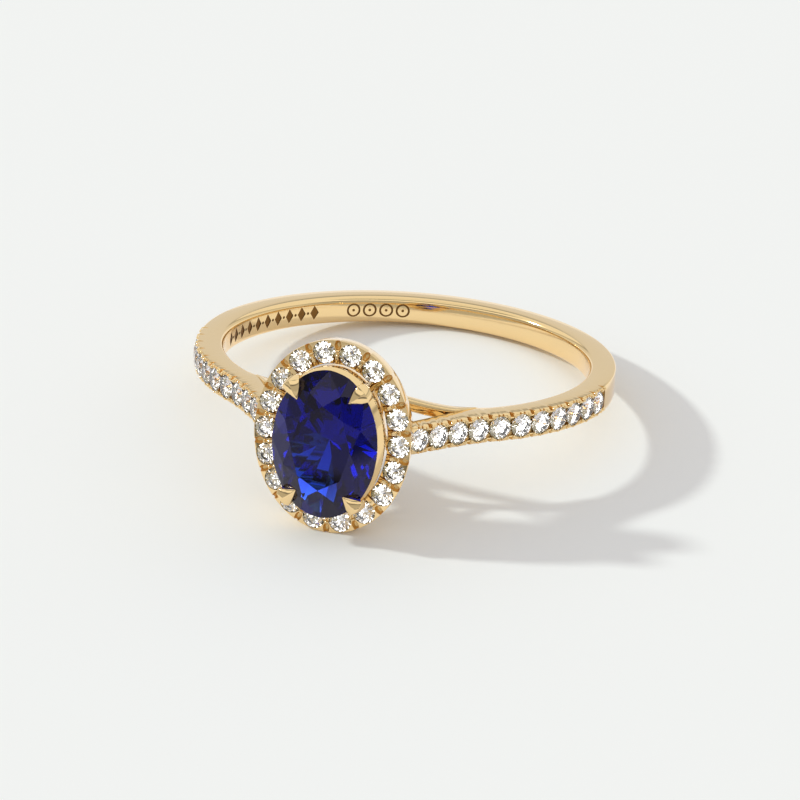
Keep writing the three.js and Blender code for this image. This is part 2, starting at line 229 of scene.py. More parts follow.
def share_on_arm(angle):
    """0 on the round part of the band, 1 on the arms, easing in just past where they leave it."""
    return min(1.0, max(0.0, (RISE_START - abs(angle)) / ARM_EASING))


def polar(angle, radius, height=0.0):
    return Vector((radius * math.sin(angle), -radius * math.cos(angle), height))


def bridge_half_width(x):
    taper = max(0.0, 1 - (x / BRIDGE_HALF_LENGTH) ** 2)
    return BAND_HALF_WIDTH + BRIDGE_SWELL * taper**BRIDGE_SWELL_POWER


def walk(path, count, closed):
    """Places equally spaced along a finely stepped path: indices into it."""
    travelled = [0.0]
    for here, ahead in zip(path, path[1:]):
        travelled.append(travelled[-1] + (ahead - here).length)
    spaces = count if closed else count - 1
    start = 0.5 if closed else 0.0
    found = []
    for i in range(count):
        target = travelled[-1] * (i + start) / spaces
        found.append(min(range(len(path)), key=lambda k: abs(travelled[k] - target)))
    return found


def axes_at(here, x, y, z):
    return Matrix.Translation(here) @ Matrix((x, y, z)).transposed().to_4x4()


def shoulder_frame(angle):
    """Axes at a place on the outer face of the right shoulder: X across, Y along, Z outward."""
    here = polar(angle, outer_radius(angle))
    along = (polar(angle + 1e-3, outer_radius(angle + 1e-3)) - here).normalized()
    outward = Vector((along.y, -along.x, 0))
    return axes_at(here, along.cross(outward), along, outward)


def shoulder_seats():
    """Angles of the right shoulder's stones, evenly spaced along its curve."""
    steps = 600
    span = LAST_STONE_ANGLE - FIRST_STONE_ANGLE
    angles = [FIRST_STONE_ANGLE + span * i / steps for i in range(steps + 1)]
    path = [polar(angle, outer_radius(angle)) for angle in angles]
    return [angles[k] for k in walk(path, SHOULDER_STONES, closed=False)]


def halo_spot(turn):
    return Vector((HALO_LINE[0] * math.cos(turn), HALO_LINE[1] * math.sin(turn), HALO_FACE))


def halo_frame_at(turn):
    """Axes at a place on the line of the halo's stones: X outward, Y along, Z up."""
    along = Vector((-HALO_LINE[0] * math.sin(turn), HALO_LINE[1] * math.cos(turn), 0)).normalized()
    return axes_at(halo_spot(turn), Vector((along.y, -along.x, 0)), along, Vector((0, 0, 1)))


def halo_turns(gaps=False):
    """Turns of the halo's stones, or of the gaps between them."""
    steps = 3600
    turns = [math.pi / 2 + 2 * math.pi * i / steps for i in range(steps + 1)]
    halves = [turns[k] for k in walk([halo_spot(t) for t in turns], HALO_STONES * 2, closed=True)]
    halves.append(halves[0] + 2 * math.pi)
    return [(halves[i] + halves[i + 1]) / 2 for i in range(int(gaps), HALO_STONES * 2, 2)]


def claw_axes():
    """The girdle point that a claw holds, and the directions outward and sideways there."""
    sin, cos = math.sin(CLAW_ANGLE), math.cos(CLAW_ANGLE)
    rim = Vector((CENTRE_HALF[0] * sin, CENTRE_HALF[1] * cos, 0))
    out = Vector((sin / CENTRE_HALF[0], cos / CENTRE_HALF[1], 0)).normalized()
    return rim, out, Vector((-out.y, out.x, 0))


# ---------- bench tools


def leave_edit():
    bpy.ops.object.mode_set(mode="OBJECT")


def take_all():
    bpy.ops.mesh.select_all(action="SELECT")


def clear_selection():
    if bpy.context.mode != "OBJECT":
        leave_edit()
    bpy.ops.object.select_all(action="DESELECT")


def work_on(piece):
    clear_selection()
    piece.select_set(True)
    bpy.context.view_layer.objects.active = piece


def fresh(name, add_primitive, **settings):
    """Add a primitive with nothing else selected, and give it a name."""
    clear_selection()
    add_primitive(**settings)
    piece = bpy.context.active_object
    piece.name = name
    piece.data.name = name
    return piece


def edit(kind="FACE"):
    bpy.ops.object.mode_set(mode="EDIT")
    bpy.ops.mesh.select_mode(type=kind)


def pick(piece, kind, test):
    """In edit mode, select only the vertices, edges or faces whose middle passes a test."""
    mesh = bmesh.from_edit_mesh(piece.data)
    groups = {"VERT": mesh.verts, "EDGE": mesh.edges, "FACE": mesh.faces}
    for group in groups.values():
        for element in group:
            element.select = False
    for element in groups[kind]:
        corners = [element] if kind == "VERT" else element.verts
        if test(sum((corner.co for corner in corners), Vector()) / len(corners)):
            element.select = True
    mesh.select_flush_mode()
    bmesh.update_edit_mesh(piece.data)


def reshape(piece, move):
    """Move every vertex by a rule, as with a proportional transform."""
    for vertex in piece.data.vertices:
        vertex.co = move(vertex.co)


def tidy_skin(piece, distance=1e-4):
    work_on(piece)
    edit("VERT")
    take_all()
    bpy.ops.mesh.remove_doubles(threshold=distance)
    bpy.ops.mesh.normals_make_consistent(inside=False)
    leave_edit()


def spin_outline(steps):
    """In edit mode, drop the section's face and sweep its outline once round Z."""
    take_all()
    bpy.ops.mesh.delete(type="ONLY_FACE")
    take_all()
    bpy.ops.mesh.spin(steps=steps, angle=2 * math.pi, center=(0, 0, 0), axis=(0, 0, 1))
    leave_edit()


def apply_modifier(piece, kind, **settings):
    work_on(piece)
    modifier = piece.modifiers.new(kind.lower(), kind)
    for key, value in settings.items():
        setattr(modifier, key, value)
    bpy.ops.object.modifier_apply(modifier=modifier.name)


def stamp(pattern, places, name):
    """One object that holds a copy of the pattern at every place."""
    copies = []
    for place in places:
        twin = bpy.data.objects.new(name, pattern.data.copy())
        bpy.context.scene.collection.objects.link(twin)
        twin.data.transform(place)
        if place.to_3x3().determinant() < 0:
            twin.data.flip_normals()
        copies.append(twin)
    work_on(copies[0])
    for twin in copies:
        twin.select_set(True)
    bpy.ops.object.join()
    joined = bpy.context.active_object
    joined.name = name
    return joined


def carve(piece, pattern, places, operation="DIFFERENCE"):
    """Cut the pattern out of the piece at every place, or join it on with UNION."""
    tool = stamp(pattern, places, pattern.name + "_tool")
    apply_modifier(piece, "BOOLEAN", operation=operation, object=tool, solver="MANIFOLD",
                   material_mode="TRANSFER")
    bpy.data.objects.remove(tool)


def paint(name, *pieces):
    for piece in pieces:
        piece.data.materials.append(bpy.data.materials[name])


def scrap(*patterns):
    for pattern in patterns:
        bpy.data.objects.remove(pattern)


def finish_piece(piece, place, node, finish):
    """Lay a finished piece where the frame lies, give it its finish, and hand it to the frame."""
    piece.matrix_world = place
    work_on(piece)
    bpy.ops.object.transform_apply(location=True, rotation=True, scale=True)
    if not piece.data.materials:
        paint(finish, piece)
    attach(piece, "root")
    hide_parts(node)
    clear_selection()


def moved(places, step, side=1, along=1):
    """The places, each shifted along its own axes, mirrored by the two signs."""
    shift = Matrix.Translation((side * step[0], along * step[1], step[2]))
    return [place @ shift for place in places]


def finish_metal(piece, place, node, crease=32):
    work_on(piece)
    bpy.ops.object.shade_smooth_by_angle(angle=math.radians(crease))
    finish_piece(piece, place, node, "gold_polish")


def both_sides(places):
    flip = Matrix.Scale(-1, 4, (1, 0, 0))
    return list(places) + [flip @ place for place in places]


def ball(radius, centre=(0, 0, 0), stretch=(1, 1, 1), segments=12, rings=7):
    bead = fresh("bead", bpy.ops.mesh.primitive_uv_sphere_add,
                 segments=segments, ring_count=rings, radius=radius)
    reshape(bead, lambda co: Vector(co * Vector(stretch)) + Vector(centre))
    return bead


# ---------- shader groups and finishes


def new_group(name, inputs, outputs):
    group = bpy.data.node_groups.new(name, "ShaderNodeTree")
    for socket, kind, default in inputs:
        made = group.interface.new_socket(name=socket, in_out="INPUT", socket_type=kind)
        made.default_value = default
    for socket, kind in outputs:
        group.interface.new_socket(name=socket, in_out="OUTPUT", socket_type=kind)
    return group, group.nodes.new("NodeGroupInput"), group.nodes.new("NodeGroupOutput")


def add(tree, kind, values=(), **settings):
    """A node with its settings, and with values given as (input, value)."""
    node = tree.nodes.new(kind)
    for key, value in settings.items():
        setattr(node, key, value)
    for key, value in values:
        node.inputs[key].default_value = value
    return node


def wire(tree, *links):
    """Join nodes: each link is (node, its output, node, its input)."""
    for source, output, target, entry in links:
        tree.links.new(source.outputs[output], target.inputs[entry])


def polish_group():
    """Fine polishing marks and a soft unevenness: a roughness and a height."""
    group, given, out = new_group(
        "polish_marks",
        [("Scale", "NodeSocketFloat", 1.0), ("Base Roughness", "NodeSocketFloat", 0.08),
         ("Amount", "NodeSocketFloat", 0.03)],
        [("Roughness", "NodeSocketFloat"), ("Height", "NodeSocketFloat")],
    )
    place = add(group, "ShaderNodeTexCoord")
    stretch = add(group, "ShaderNodeMapping", [("Scale", (1.0, 1.0, 9.0))])
    marks = add(group, "ShaderNodeTexNoise", [("Detail", 4.0)])
    cloud = add(group, "ShaderNodeTexNoise", [("Detail", 2.0)])
    cloud_scale = add(group, "ShaderNodeMath", [(1, 0.15)], operation="MULTIPLY")
    mixed = add(group, "ShaderNodeMath", [(1, 0.5)], operation="MULTIPLY_ADD")
    lift = add(group, "ShaderNodeMath", operation="MULTIPLY_ADD")
    wire(group,
         (place, "Object", stretch, "Vector"),
         (stretch, "Vector", marks, "Vector"),
         (given, "Scale", marks, "Scale"),
         (given, "Scale", cloud_scale, 0),
         (place, "Object", cloud, "Vector"),
         (cloud_scale, 0, cloud, "Scale"),
         (marks, "Fac", mixed, 0),
         (cloud, "Fac", mixed, 2),
         (mixed, 0, lift, 0),
         (given, "Amount", lift, 1),
         (given, "Base Roughness", lift, 2),
         (lift, 0, out, "Roughness"),
         (mixed, 0, out, "Height"))


def zoning_group():
    """Faint growth zones through a stone: a colour between two."""
    group, given, out = new_group(
        "growth_zones",
        [("Scale", "NodeSocketFloat", 1.0), ("Deep", "NodeSocketColor", (1, 1, 1, 1)),
         ("Pale", "NodeSocketColor", (1, 1, 1, 1))],
        [("Color", "NodeSocketColor")],
    )
    place = add(group, "ShaderNodeTexCoord")
    noise = add(group, "ShaderNodeTexNoise", [("Detail", 1.0)])
    mixed = add(group, "ShaderNodeMix", data_type="RGBA")
    wire(group,
         (place, "Object", noise, "Vector"),
         (given, "Scale", noise, "Scale"),
         (noise, "Fac", mixed, "Factor"),
         (given, "Deep", mixed, 6),
         (given, "Pale", mixed, 7),
         (mixed, 2, out, "Color"))


def group_node(tree, name, *values):
    return add(tree, "ShaderNodeGroup", values, node_tree=bpy.data.node_groups[name])


def new_material(name, *values):
    material = bpy.data.materials.new(name)
    material.use_nodes = True
    shader = material.node_tree.nodes["Principled BSDF"]
    for key, value in values:
        shader.inputs[key].default_value = value
    return material.node_tree, shader


def gold_finish(name, colour, roughness, marks):
    tree, shader = new_material(name, ("Metallic", 1.0))
    pale = [min(1.0, channel * 1.03) for channel in colour]
    polish = group_node(tree, "polish_marks", ("Scale", 2500.0), ("Base Roughness", roughness),
                        ("Amount", marks))
    tone = group_node(tree, "growth_zones", ("Scale", 300.0), ("Deep", colour), ("Pale", pale))
    bump = add(tree, "ShaderNodeBump", [("Strength", 0.25), ("Distance", 0.004 * MM)])
    wire(tree,
         (tone, "Color", shader, "Base Color"),
         (polish, "Roughness", shader, "Roughness"),
         (polish, "Height", bump, "Height"),
         (bump, "Normal", shader, "Normal"))


def stone_finish(name, deep, pale, index, sheen=(1, 1, 1, 1)):
    """A clear stone with that refractive index. Its sheen tints what the facets mirror."""
    tree, shader = new_material(
        name, ("Specular Tint", sheen), ("Transmission Weight", 1.0), ("Roughness", 0.0), ("IOR", index))
    zones = group_node(tree, "growth_zones", ("Scale", 600.0), ("Deep", deep), ("Pale", pale))
    wire(tree, (zones, "Color", shader, "Base Color"))
    return tree


# ---------- properties


def colour_setting(name, description, *channels):
    return bpy.props.FloatVectorProperty(name=name, description=description, size=4, min=0, max=1,
                                         subtype="COLOR", default=(*channels, 1))


def number_setting(name, description, default, **settings):
    return bpy.props.FloatProperty(name=name, description=description, default=default, **settings)


def size_setting(name, description, millimetres):
    return number_setting(name, description, millimetres, min=0.005)


def angle_setting(name, description, degrees):
    return number_setting(name, description, math.radians(degrees), subtype="ANGLE")


class RingFinishes(bpy.types.PropertyGroup):
    """Colours and polish of the metal and the stones."""

    gold: colour_setting("Gold", "Colour that the polished gold reflects", 0.89, 0.66, 0.335)
    cuts: colour_setting("Cuts", "Matt metal in the cuts round the diamonds", 0.84, 0.6, 0.27)
    engraving: colour_setting("Engraving", "Colour of the floor of the engraved marks", 0.22, 0.11, 0.03)
    polish: number_setting(
        "Polish", "Roughness of the polished gold", 0.05, subtype="FACTOR", min=0, max=1)
    sapphire: colour_setting("Sapphire", "Body colour of the centre stone", 0.03, 0.11, 0.52)
    depth: number_setting(
        "Depth of colour", "How fast the centre stone soaks up light, per metre", 880, min=0)


class RingDetails(bpy.types.PropertyGroup):
    """Sizes of the setting's fine work, in millimetres."""

    bead: size_setting("Bead", "Radius of the beads that hold the shoulder diamonds", 0.1)
    notch: size_setting("Notch", "Width of the cut between two shoulder diamonds", 0.26)
    almond: size_setting("Almond cut", "Half width of the cut between two halo diamonds", 0.17)
    engraving: size_setting("Engraving", "Depth of the engraved marks inside the band", 0.03)


class RingStudio(bpy.types.PropertyGroup):
    """Where the camera and the light stand, and how bright the room is."""

    azimuth: angle_setting("Camera azimuth", "Turn of the camera round the ring", 15.90)
    elevation: angle_setting("Camera elevation", "Height of the camera above the horizon", 27.47)
    roll: angle_setting("Camera roll", "Turn of the camera about its own line of sight", 1.05)
    distance: number_setting(
        "Camera distance", "From the camera to the middle of the ring", 0.260, unit="LENGTH")
    lens: number_setting("Lens", "Focal length on a 36 mm sensor", 246.9, subtype="DISTANCE_CAMERA")
    light_azimuth: angle_setting("Light azimuth", "Direction of the main light from the ring", 188)
    light_elevation: angle_setting("Light elevation", "Height of the main light above the horizon", 30)
    light_size: angle_setting("Light size", "Angle that the main light fills", 4)
    light_power: number_setting("Light power", "Strength of the main light", 1.68)
    room: number_setting("Room", "Brightness of the room's walls", 0.73)
    floor: colour_setting("Floor", "Colour of the floor", 0.9, 0.915, 0.89)


# ---------- stage


# Brightness of the room's walls for what the metal mirrors, by the sine of the height
FRONT_WALL = ((0.0, 0.7), (0.3, 0.7), (0.36, 0.25), (0.4, 0.25), (0.46, 1.4), (0.66, 1.4),
              (0.7, 0.4), (0.77, 0.4), (0.81, 1.25), (1.0, 1.1))
REAR_WALL = ((0.0, 1.05), (0.2, 1.05), (0.24, 0.6), (0.28, 0.6), (0.33, 1.3), (1.0, 1.3))
# Brightness of the light panels that the stones gather, by the value of a smooth pattern
PANELS = ((0.0, 0.02), (0.53, 0.05), (0.55, 2.4), (0.61, 5.2), (1.0, 6.0))
# Warmth of the dark walls between the panels
BETWEEN_PANELS = (0.46, 0.4, 0.2, 1)
EVEN_LIGHT = (1.0, 0.98, 1.0, 1)
# Where the front wall fades into the rear one, by the direction's Y
WALLS_MEET = (-0.35, 0.1)
# Painted shade on the floor in front of the ring, which only mirrored and refracted rays see: its tone
# from just under the head outward, and the Y, in metres, of its first and last stops
MIRRORED_FLOOR_SHADE = ((0.0, 1.0), (0.14, 1.0), (0.17, 0.16), (0.23, 0.16), (0.27, 0.64), (1.0, 0.64))
MIRRORED_FLOOR_SHADE_REACH = (-0.01, -0.11)
SUNLIGHT = (0.95, 1.0, 0.98)
# How far right of and above the middle of the picture the ring's middle stands, millimetres
FRAMING = (0.286, 1.705)


class RING_OT_stage(bpy.types.Operator):
    """Camera, pale floor, room and lights"""

    bl_idname = "ring.stage"
    bl_label = "Stage"

    def execute(self, context):
        studio = context.scene.ring_studio
        self.add_camera(context, studio)
        self.add_floor(studio)
        self.add_light(studio)
        self.add_room(context, studio)
        context.scene.view_settings.view_transform = "Standard"
        return {"FINISHED"}

    def add_camera(self, context, studio):
        azimuth, elevation = studio.azimuth, studio.elevation
        back = Vector((math.sin(azimuth) * math.cos(elevation),
                       -math.cos(azimuth) * math.cos(elevation), math.sin(elevation)))
        level = Vector((math.cos(azimuth), math.sin(azimuth), 0))
        right = (Matrix.Rotation(studio.roll, 3, back) @ level).normalized()
        up = back.cross(right)
        aim = BENCH.translation - (FRAMING[0] * right + FRAMING[1] * up) * MM
        clear_selection()
        bpy.ops.object.camera_add(location=aim + studio.distance * back)
        camera = context.active_object
        camera.name = "camera"
        camera.rotation_euler = Matrix((right, up, back)).transposed().to_euler()
        camera.data.lens = studio.lens
        camera.data.sensor_width = 36
        camera.data.clip_start = 0.01
        context.scene.camera = camera

    def add_floor(self, studio):
        floor = fresh("floor", bpy.ops.mesh.primitive_plane_add, size=3.0)
        tree, shader = new_material("pale_floor", ("Roughness", 1.0), ("Specular IOR Level", 0.0))
        place = add(tree, "ShaderNodeTexCoord")
        axes = add(tree, "ShaderNodeSeparateXYZ")
        near, far = MIRRORED_FLOOR_SHADE_REACH
        reach = add(tree, "ShaderNodeMapRange", [("From Min", near), ("From Max", far)])
        path = add(tree, "ShaderNodeLightPath")
        mirrored = add(tree, "ShaderNodeMath", operation="MAXIMUM")
        plain = add(tree, "ShaderNodeRGB")
        plain.outputs[0].default_value = studio.floor
        wire(tree,
             (place, "Object", axes, 0),
             (axes, "Y", reach, "Value"),
             (path, "Is Glossy Ray", mirrored, 0),
             (path, "Is Transmission Ray", mirrored, 1))
        # Painted shade: only mirrored and refracted rays see the floor darker in a band in front of the
        # ring
        tone = self.ramp(tree, reach.outputs[0], MIRRORED_FLOOR_SHADE)
        colour = self.blend(tree, mirrored.outputs[0], plain.outputs[0], tone)
        tree.links.new(colour, shader.inputs["Base Color"])
        paint("pale_floor", floor)

    def add_light(self, studio):
        clear_selection()
        bpy.ops.object.light_add(type="SUN", location=(0, 0, 0.1))
        light = bpy.context.active_object
        light.name = "main_light"
        light.data.energy = studio.light_power
        light.data.color = SUNLIGHT
        light.data.angle = studio.light_size
        azimuth, elevation = studio.light_azimuth, studio.light_elevation
        towards = Vector((math.cos(azimuth) * math.cos(elevation),
                          math.sin(azimuth) * math.cos(elevation), math.sin(elevation)))
        light.rotation_euler = towards.to_track_quat("Z", "Y").to_euler()

    def add_room(self, context, studio):
        """Walls for what the metal mirrors, panels for what the stones gather, else an even light."""
        world = bpy.data.worlds.new("room")
        context.scene.world = world
        world.use_nodes = True
        tree = world.node_tree
        path = add(tree, "ShaderNodeLightPath")
        place = add(tree, "ShaderNodeTexCoord")
        axes = add(tree, "ShaderNodeSeparateXYZ")
        front_y, rear_y = WALLS_MEET
        turn = add(tree, "ShaderNodeMapRange", [("From Min", front_y), ("From Max", rear_y)],
                   interpolation_type="SMOOTHSTEP")
        panels = add(tree, "ShaderNodeTexNoise", [("Scale", 1.6), ("Detail", 1.0)])
        wire(tree,
             (place, "Generated", axes, 0),
             (axes, "Y", turn, "Value"),
             (place, "Generated", panels, "Vector"))
        front = self.ramp(tree, axes.outputs["Z"], FRONT_WALL)
        rear = self.ramp(tree, axes.outputs["Z"], REAR_WALL)
        walls = self.blend(tree, turn.outputs[0], front, rear)
        lit = self.ramp(tree, panels.outputs["Fac"], PANELS)
        sparkle = add(tree, "ShaderNodeMix", [("Factor", 1.0), (7, BETWEEN_PANELS)],
                      data_type="RGBA", blend_type="ADD")
        tree.links.new(lit, sparkle.inputs[6])
        even = add(tree, "ShaderNodeRGB")
        even.outputs[0].default_value = EVEN_LIGHT
        mirrored = self.blend(tree, path.outputs["Is Glossy Ray"], even.outputs[0], walls)
        seen = self.blend(tree, path.outputs["Is Transmission Ray"], mirrored, sparkle.outputs[2])
        background = tree.nodes["Background"]
        tree.links.new(seen, background.inputs["Color"])
        background.inputs["Strength"].default_value = studio.room

    def ramp(self, tree, value, stops):
        """Brightness by height or by pattern: stops are (place from 0 to 1, brightness)."""
        node = add(tree, "ShaderNodeValToRGB")
        elements = node.color_ramp.elements
        while len(elements) < len(stops):
            elements.new(0.5)
        for element, (place, level) in zip(elements, stops):
            element.position = place
            element.color = (level, level, level, 1)
        tree.links.new(value, node.inputs[0])
        return node.outputs[0]

    def blend(self, tree, amount, first, second):
        node = add(tree, "ShaderNodeMix", data_type="RGBA")
        tree.links.new(amount, node.inputs["Factor"])
        tree.links.new(first, node.inputs[6])
        tree.links.new(second, node.inputs[7])
        return node.outputs[2]


# ---------- stones


def cut_brilliant():
    """A round brilliant on a girdle of unit radius, cut facet by facet from a drum."""
    stone = fresh("brilliant", bpy.ops.mesh.primitive_cylinder_add,
                  vertices=64, radius=1, depth=2, end_fill_type="NGON")
    edit()
    for facets, side in ((CROWN_FACETS, 1), (PAVILION_FACETS, -1)):
        for count, first, slope, height in facets:
            for i in range(count):
                turn = math.radians(first) + 2 * math.pi * i / count
                take_all()
                bpy.ops.mesh.bisect(
                    plane_co=(0, 0, side * height),
                    plane_no=(slope * math.cos(turn), slope * math.sin(turn), side),
                    use_fill=True, clear_outer=True)
    take_all()
    bpy.ops.mesh.bisect(plane_co=(0, 0, TABLE_HEIGHT), plane_no=(0, 0, 1), use_fill=True,
                        clear_outer=True)
    leave_edit()
    tidy_skin(stone, 1e-5)
    return stone


def set_diamonds(places, head_or_band, radius, node_start, first_turn):
    """A diamond at each place, each turned a little further than the last."""
    pattern = cut_brilliant()
    sunk = Matrix.Translation((0, 0, -STONE_SINK))
    for i, place in enumerate(places):
        name = f"{node_start}_{i + 1:02d}"
        spin = Matrix.Rotation(STONE_TURN * (i + first_turn), 4, "Z")
        stone = bpy.data.objects.new(name + "_cut", pattern.data.copy())
        bpy.context.scene.collection.objects.link(stone)
        stone.data.transform(place @ sunk @ spin @ Matrix.Scale(radius, 4))
        finish_piece(stone, head_or_band, name, "diamond_body")
    scrap(pattern)


class RING_OT_centre_stone(bpy.types.Operator):
    """The oval centre sapphire"""

    bl_idname = "ring.centre_stone"
    bl_label = "Centre stone"

    def execute(self, context):
        stone = cut_brilliant()
        stone.name = "centre_sapphire_cut"
        crown = CENTRE_CROWN / TABLE_HEIGHT
        pavilion = CENTRE_PAVILION / PAVILION_DEPTH

        def oval(co):
            scale = crown if co.z > 0 else pavilion
            return Vector((co.x * CENTRE_HALF[0], co.y * CENTRE_HALF[1], CENTRE_GIRDLE + co.z * scale))

        reshape(stone, oval)
        finish_piece(stone, HEAD, "centre_sapphire", "sapphire_body")
        return {"FINISHED"}


class RING_OT_halo_diamonds(bpy.types.Operator):
    """The round diamonds of the halo"""

    bl_idname = "ring.halo_diamonds"
    bl_label = "Halo diamonds"

    def execute(self, context):
        places = [halo_frame_at(turn) for turn in halo_turns()]
        set_diamonds(places, HEAD, HALO_DIAMOND_RADIUS, "halo_diamond", 0)
        return {"FINISHED"}


class RING_OT_shoulder_diamonds(bpy.types.Operator):
    """The round diamonds along both shoulders"""

    bl_idname = "ring.shoulder_diamonds"
    bl_label = "Shoulder diamonds"

    def execute(self, context):
        right = [shoulder_frame(angle) for angle in shoulder_seats()]
        turned = Matrix.Rotation(math.pi, 4, "Z")
        flip = Matrix.Scale(-1, 4, (1, 0, 0))
        left = [flip @ place @ flip @ turned for place in right]
        for side, places, first_turn in (("right", right, 20), ("left", left, 40)):
            set_diamonds(places, BENCH, SHOULDER_DIAMOND_RADIUS, f"shoulder_diamond_{side}", first_turn)
        return {"FINISHED"}


def seat_tool(radius, depth):
    """Drill and cone for a round stone's seat, with its mouth well above the metal."""
    ledge = -STONE_SINK - GIRDLE * radius
    tool = fresh("seat", bpy.ops.mesh.primitive_cylinder_add,
                 vertices=32, radius=radius + FIT, depth=1.0, location=(0, 0, ledge + 0.5))
    paint("gold_polish", tool)
    bpy.ops.object.transform_apply(location=True)
    edit()
    pick(tool, "FACE", lambda co: co.z < ledge + 1e-4)
    cone = SEAT_SLOPE * (radius - DRILL_RADIUS)
    narrowing = DRILL_RADIUS / radius
    bpy.ops.mesh.extrude_region_move(TRANSFORM_OT_translate={"value": (0, 0, -cone)})
    bpy.ops.transform.resize(value=(narrowing, narrowing, 1))
    bpy.ops.mesh.extrude_region_move(TRANSFORM_OT_translate={"value": (0, 0, cone - depth)})
    leave_edit()
    return tool


# ---------- shank


def swept_section(thickness, width):
    """The band's section, rounded most on the inside, spun once round Z."""
    centre_radius = FINGER_RADIUS + thickness / 2
    bar = fresh("shank_band", bpy.ops.mesh.primitive_plane_add,
                size=2, rotation=(math.radians(90), 0, 0), location=(centre_radius, 0, 0))
    bpy.ops.object.transform_apply(location=True, rotation=True)
    reshape(bar, lambda co: Vector((centre_radius + (co.x - centre_radius) * thickness / 2, 0,
                                    co.z * width / 2)))
    edit("VERT")
    for inner, offset, segments in ((True, COMFORT_ROUNDING, 6), (False, BAND_OUTER_ROUNDING, 3)):
        pick(bar, "VERT", lambda co: (co.x < centre_radius) == inner)
        bpy.ops.mesh.bevel(offset=offset, segments=segments, affect="VERTICES")
    bpy.ops.mesh.select_mode(type="EDGE")
    pick(bar, "EDGE", lambda co: co.x < FINGER_RADIUS + 1e-4)
    bpy.ops.mesh.subdivide(number_cuts=7)
    spin_outline(BAND_STEPS)
    tidy_skin(bar)
    return bar


def wedge(width, length, depth):
    """A V-shaped cutter: its edge lies along X at z = -depth, its mouth is open above Z = 0."""
    tool = fresh("wedge", bpy.ops.mesh.primitive_cube_add, size=1)
    mouth_height, edge_half = 0.3, 0.01
    mouth_half = width / 2 / depth * (mouth_height + depth)

    def shape(co):
        half, z = (mouth_half, mouth_height) if co.z > 0 else (edge_half, -depth)
        return Vector((co.x * length, math.copysign(half, co.y), z))

    reshape(tool, shape)
    return tool


